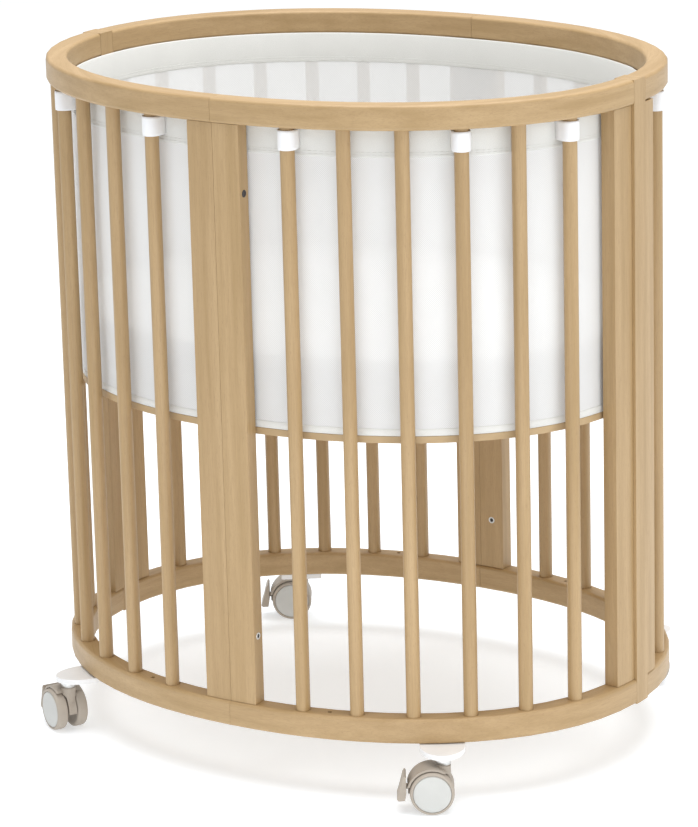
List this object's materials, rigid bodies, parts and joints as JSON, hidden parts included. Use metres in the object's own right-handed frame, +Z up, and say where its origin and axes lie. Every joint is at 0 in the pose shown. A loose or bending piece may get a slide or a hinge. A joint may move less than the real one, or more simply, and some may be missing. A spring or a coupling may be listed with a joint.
{
  "type": "baby crib",
  "caption": "Oval wooden baby crib with round slats, a mesh liner, a mattress on an adjustable base and braked swivel casters.",
  "frame": {"origin": "floor under the middle of the oval, at the wheels' lowest points", "axes": "+X along the oval's long axis, +Y along its short axis, +Z up"},
  "size_m": [0.746, 0.593, 0.793],
  "materials": {
    "beech": "satin",
    "plywood": "satin",
    "mattress_cover": "matte",
    "liner_mesh": "matte",
    "white_plastic": "gloss",
    "taupe_plastic": "satin",
    "taupe_rubber": "satin"
  },
  "bodies": {
    "frame": {"top_rail_right": "beech", "bottom_rail_right": "beech", "post_right_start": "beech", "post_right_end": "beech", "slat_right_1": "beech", "slat_right_2": "beech", "slat_right_3": "beech", "slat_right_4": "beech", "slat_right_5": "beech", "slat_right_6": "beech", "caster_bracket_right": "white_plastic", "top_rail_back": "beech", "bottom_rail_back": "beech", "post_back_start": "beech", "post_back_end": "beech", "slat_back_1": "beech", "slat_back_2": "beech", "slat_back_3": "beech", "slat_back_4": "beech", "slat_back_5": "beech", "slat_back_6": "beech", "caster_bracket_back": "white_plastic", "top_rail_left": "beech", "bottom_rail_left": "beech", "post_left_start": "beech", "post_left_end": "beech", "slat_left_1": "beech", "slat_left_2": "beech", "slat_left_3": "beech", "slat_left_4": "beech", "slat_left_5": "beech", "slat_left_6": "beech", "caster_bracket_left": "white_plastic", "top_rail_front": "beech", "bottom_rail_front": "beech", "post_front_start": "beech", "post_front_end": "beech", "slat_front_1": "beech", "slat_front_2": "beech", "slat_front_3": "beech", "slat_front_4": "beech", "slat_front_5": "beech", "slat_front_6": "beech", "caster_bracket_front": "white_plastic", "liner": "liner_mesh"},
    "mattress_support": {"mattress_support": "plywood"},
    "mattress": {"mattress": "mattress_cover"},
    "caster_right": {"caster_housing_right": "taupe_plastic"},
    "wheels_right": {"caster_wheels_right": "taupe_rubber"},
    "pedal_right": {"brake_pedal_right": "taupe_plastic"},
    "caster_back": {"caster_housing_back": "taupe_plastic"},
    "wheels_back": {"caster_wheels_back": "taupe_rubber"},
    "pedal_back": {"brake_pedal_back": "taupe_plastic"},
    "caster_left": {"caster_housing_left": "taupe_plastic"},
    "wheels_left": {"caster_wheels_left": "taupe_rubber"},
    "pedal_left": {"brake_pedal_left": "taupe_plastic"},
    "caster_front": {"caster_housing_front": "taupe_plastic"},
    "wheels_front": {"caster_wheels_front": "taupe_rubber"},
    "pedal_front": {"brake_pedal_front": "taupe_plastic"}
  },
  "joints": [
    {"name": "support_height", "type": "slide", "parent": "frame", "child": "mattress_support", "axis": [0, 0, 1], "range_m": [-0.255, 0]},
    {"name": "mattress_lift", "type": "slide", "parent": "mattress_support", "child": "mattress", "axis": [0, 0, 1], "range_m": [0, 0.45]},
    {"name": "swivel_right", "type": "hinge", "parent": "frame", "child": "caster_right", "pos_m": [0.26181, 0.24697, 0.06], "axis": [0, 0, 1], "continuous": true},
    {"name": "wheel_spin_right", "type": "hinge", "parent": "caster_right", "child": "wheels_right", "pos_m": [0.2509, 0.23989, 0.025], "axis": [-0.5446, 0.8387, 0], "continuous": true},
    {"name": "brake_right", "type": "hinge", "parent": "caster_right", "child": "pedal_right", "pos_m": [0.23053, 0.22665, 0.029], "axis": [0.5446, -0.8387, 0], "range_deg": [0, 12]},
    {"name": "swivel_back", "type": "hinge", "parent": "frame", "child": "caster_back", "pos_m": [-0.26181, 0.24697, 0.06], "axis": [0, 0, 1], "continuous": true},
    {"name": "wheel_spin_back", "type": "hinge", "parent": "caster_back", "child": "wheels_back", "pos_m": [-0.27271, 0.23989, 0.025], "axis": [-0.5446, 0.8387, 0], "continuous": true},
    {"name": "brake_back", "type": "hinge", "parent": "caster_back", "child": "pedal_back", "pos_m": [-0.29309, 0.22665, 0.029], "axis": [0.5446, -0.8387, 0], "range_deg": [0, 12]},
    {"name": "swivel_left", "type": "hinge", "parent": "frame", "child": "caster_left", "pos_m": [-0.26181, -0.24697, 0.06], "axis": [0, 0, 1], "continuous": true},
    {"name": "wheel_spin_left", "type": "hinge", "parent": "caster_left", "child": "wheels_left", "pos_m": [-0.27329, -0.24086, 0.025], "axis": [0.4695, 0.8829, 0], "continuous": true},
    {"name": "brake_left", "type": "hinge", "parent": "caster_left", "child": "pedal_left", "pos_m": [-0.29474, -0.22946, 0.029], "axis": [-0.4695, -0.8829, 0], "range_deg": [0, 12]},
    {"name": "swivel_front", "type": "hinge", "parent": "frame", "child": "caster_front", "pos_m": [0.26181, -0.24697, 0.06], "axis": [0, 0, 1], "continuous": true},
    {"name": "wheel_spin_front", "type": "hinge", "parent": "caster_front", "child": "wheels_front", "pos_m": [0.2509, -0.25405, 0.025], "axis": [-0.5446, 0.8387, 0], "continuous": true},
    {"name": "brake_front", "type": "hinge", "parent": "caster_front", "child": "pedal_front", "pos_m": [0.23053, -0.26728, 0.029], "axis": [0.5446, -0.8387, 0], "range_deg": [0, 12]}
  ]
}
